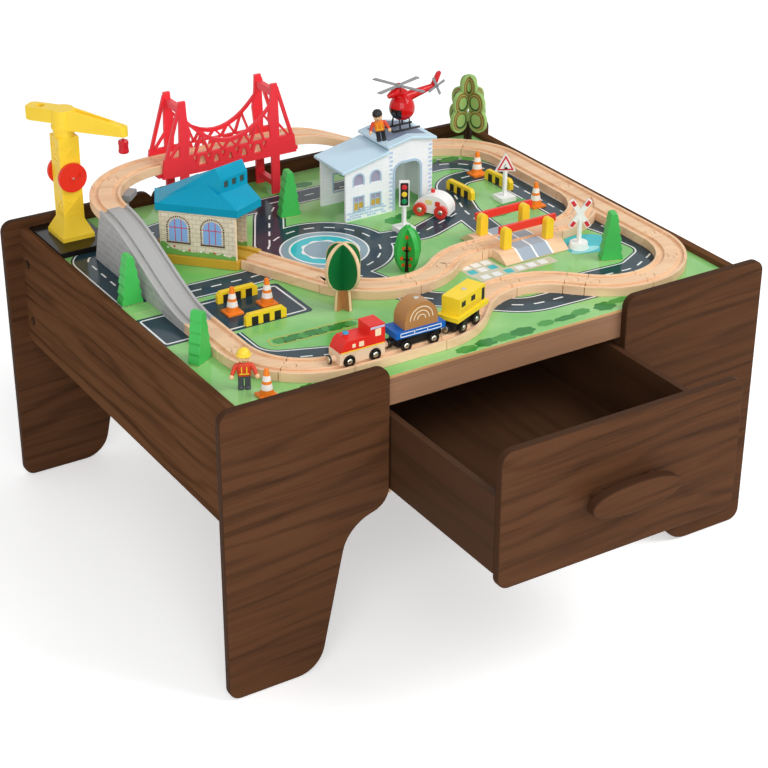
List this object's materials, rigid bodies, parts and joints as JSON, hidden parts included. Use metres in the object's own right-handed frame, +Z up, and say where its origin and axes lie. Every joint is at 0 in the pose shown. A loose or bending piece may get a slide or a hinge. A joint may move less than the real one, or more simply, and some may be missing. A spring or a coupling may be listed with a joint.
{
  "type": "train table",
  "caption": "Low wooden play table with a printed board, wooden railway, toy buildings, crane, train and a drawer",
  "frame": {"origin": "on the floor, in the middle of the whole box with the drawer open as pictured", "axes": "+Y from the drawer to the back, +X to the right when facing the drawer, +Z up"},
  "size_m": [0.7, 0.7774, 0.491],
  "materials": {
    "walnut": "matte walnut foil",
    "walnut_dark": "matte walnut foil",
    "rail_brown": "matte brown foil",
    "board_print": "satin printed board",
    "batten_wood": "bare wood",
    "bolt_metal": "dark steel",
    "beech": "smooth beech",
    "grey_plastic": "matte",
    "bridge_red": "satin",
    "post_yellow": "painted",
    "gate_red": "painted",
    "crane_black": "satin",
    "crane_yellow": "satin",
    "winch_red": "satin",
    "ochre": "satin",
    "station_wall": "printed plywood",
    "roof_teal": "satin",
    "hospital_white": "printed plywood",
    "roof_blue": "painted plywood",
    "heli_red": "gloss",
    "rotor_grey": "matte",
    "loco_red": "painted",
    "car_blue": "painted",
    "coach_yellow": "painted",
    "wheel_black": "satin",
    "ambulance_white": "gloss paint",
    "wheel_red": "gloss paint",
    "figure_mix": "satin",
    "tree_green": "painted",
    "cone_orange": "satin",
    "barrier_yellow": "painted",
    "sign_white": "satin"
  },
  "bodies": {
    "table": {"leg_front_left": "walnut", "leg_front_right": "walnut", "leg_back_left": "walnut", "leg_back_right": "walnut", "back_panel": "walnut", "side_rail_left": "walnut", "side_rail_right": "walnut", "front_rail": "rail_brown", "board_front": "board_print", "board_back": "board_print", "partitions": "walnut_dark", "battens": "batten_wood", "rail_bolts": "bolt_metal", "track_straights": "beech", "track_curves": "beech", "track_switch": "beech", "track_down": "beech", "ramp": "grey_plastic", "curve_pier": "grey_plastic", "bridge": "bridge_red", "crossing_block": "beech", "crossing_posts": "post_yellow", "crane_platform": "crane_black", "crane_tower": "crane_yellow", "station_base": "ochre", "station_walls": "station_wall", "station_roof": "roof_teal", "hospital_walls": "hospital_white", "hospital_roofs": "roof_blue", "figures": "figure_mix", "trees": "tree_green", "cones": "cone_orange", "barriers": "barrier_yellow", "signs": "sign_white"},
    "drawer": {"drawer_front": "walnut", "drawer_sides": "walnut_dark", "drawer_back": "walnut_dark", "drawer_bottom": "walnut_dark", "drawer_handle": "walnut", "handle_posts": "walnut_dark"},
    "gate_near": {"gate_near": "gate_red"},
    "gate_far": {"gate_far": "gate_red"},
    "crane_jib": {"crane_jib": "crane_yellow"},
    "crane_winch": {"crane_winch": "winch_red"},
    "crane_hook": {"crane_hook": "winch_red"},
    "helicopter": {"helicopter_body": "heli_red"},
    "main_rotor": {"main_rotor": "rotor_grey"},
    "tail_rotor": {"tail_rotor": "rotor_grey"},
    "loco": {"loco_body": "loco_red"},
    "loco_axle_front": {"loco_axle_front": "wheel_black"},
    "loco_axle_rear": {"loco_axle_rear": "wheel_black"},
    "flatcar": {"flatcar_body": "car_blue"},
    "flatcar_axle_front": {"flatcar_axle_front": "wheel_black"},
    "flatcar_axle_rear": {"flatcar_axle_rear": "wheel_black"},
    "coach": {"coach_body": "coach_yellow"},
    "coach_axle_front": {"coach_axle_front": "wheel_black"},
    "coach_axle_rear": {"coach_axle_rear": "wheel_black"},
    "ambulance": {"ambulance_body": "ambulance_white"},
    "ambulance_axle_front": {"ambulance_axle_front": "wheel_red"},
    "ambulance_axle_rear": {"ambulance_axle_rear": "wheel_red"}
  },
  "joints": [
    {"name": "drawer_slide", "type": "slide", "parent": "table", "child": "drawer", "axis": [0, -1, 0], "range_m": [-0.194, 0.1]},
    {"name": "gate_near_lift", "type": "hinge", "parent": "table", "child": "gate_near", "pos_m": [0.125, 0.02863, 0.3595], "axis": [0, -1, 0], "range_deg": [0, 85]},
    {"name": "gate_far_lift", "type": "hinge", "parent": "table", "child": "gate_far", "pos_m": [0.125, 0.07663, 0.3595], "axis": [0, -1, 0], "range_deg": [0, 85]},
    {"name": "crane_swivel", "type": "hinge", "parent": "table", "child": "crane_jib", "pos_m": [-0.282, 0.33275, 0.467], "axis": [0, 0, 1], "continuous": true},
    {"name": "crane_wind", "type": "hinge", "parent": "table", "child": "crane_winch", "pos_m": [-0.282, 0.33275, 0.411], "axis": [0, 1, 0], "range_deg": [0, 343]},
    {"name": "hook_drop", "type": "slide", "parent": "crane_jib", "child": "crane_hook", "axis": [0, 0, -1], "range_m": [0, 0.03]},
    {"name": "helicopter_lift", "type": "slide", "parent": "table", "child": "helicopter", "axis": [0, 0, 1], "range_m": [0, 0.12]},
    {"name": "main_rotor_spin", "type": "hinge", "parent": "helicopter", "child": "main_rotor", "pos_m": [0.11008, 0.23125, 0.4767], "axis": [0, 0, 1], "continuous": true},
    {"name": "tail_rotor_spin", "type": "hinge", "parent": "helicopter", "child": "tail_rotor", "pos_m": [0.16208, 0.22725, 0.4682], "axis": [0, 1, 0], "continuous": true},
    {"name": "loco_lift", "type": "slide", "parent": "table", "child": "loco", "axis": [0, 0, 1], "range_m": [0, 0.08]},
    {"name": "loco_front_roll", "type": "hinge", "parent": "loco", "child": "loco_axle_front", "pos_m": [-0.18099, -0.12325, 0.3428], "axis": [0, 1, 0], "continuous": true},
    {"name": "loco_rear_roll", "type": "hinge", "parent": "loco", "child": "loco_axle_rear", "pos_m": [-0.14999, -0.12325, 0.3428], "axis": [0, 1, 0], "continuous": true},
    {"name": "flatcar_lift", "type": "slide", "parent": "table", "child": "flatcar", "axis": [0, 0, 1], "range_m": [0, 0.08]},
    {"name": "flatcar_front_roll", "type": "hinge", "parent": "flatcar", "child": "flatcar_axle_front", "pos_m": [-0.11199, -0.12325, 0.3428], "axis": [0, 1, 0], "continuous": true},
    {"name": "flatcar_rear_roll", "type": "hinge", "parent": "flatcar", "child": "flatcar_axle_rear", "pos_m": [-0.07799, -0.12325, 0.3428], "axis": [0, 1, 0], "continuous": true},
    {"name": "coach_lift", "type": "slide", "parent": "table", "child": "coach", "axis": [0, 0, 1], "range_m": [0, 0.08]},
    {"name": "coach_front_roll", "type": "hinge", "parent": "coach", "child": "coach_axle_front", "pos_m": [-0.04248, -0.1202, 0.3428], "axis": [-0.4067, 0.9135, 0], "continuous": true},
    {"name": "coach_rear_roll", "type": "hinge", "parent": "coach", "child": "coach_axle_rear", "pos_m": [-0.01873, -0.10963, 0.3428], "axis": [-0.4067, 0.9135, 0], "continuous": true},
    {"name": "ambulance_lift", "type": "slide", "parent": "table", "child": "ambulance", "axis": [0, 0, 1], "range_m": [0, 0.08]},
    {"name": "ambulance_front_roll", "type": "hinge", "parent": "ambulance", "child": "ambulance_axle_front", "pos_m": [0.13377, 0.16224, 0.3365], "axis": [-0.8141, -0.5807, 0], "continuous": true},
    {"name": "ambulance_rear_roll", "type": "hinge", "parent": "ambulance", "child": "ambulance_axle_rear", "pos_m": [0.11809, 0.18422, 0.3365], "axis": [-0.8141, -0.5807, 0], "continuous": true}
  ],
  "couplings": [
    {"joint": "hook_drop", "follows": "crane_wind", "m_per_rad": 0.005}
  ]
}
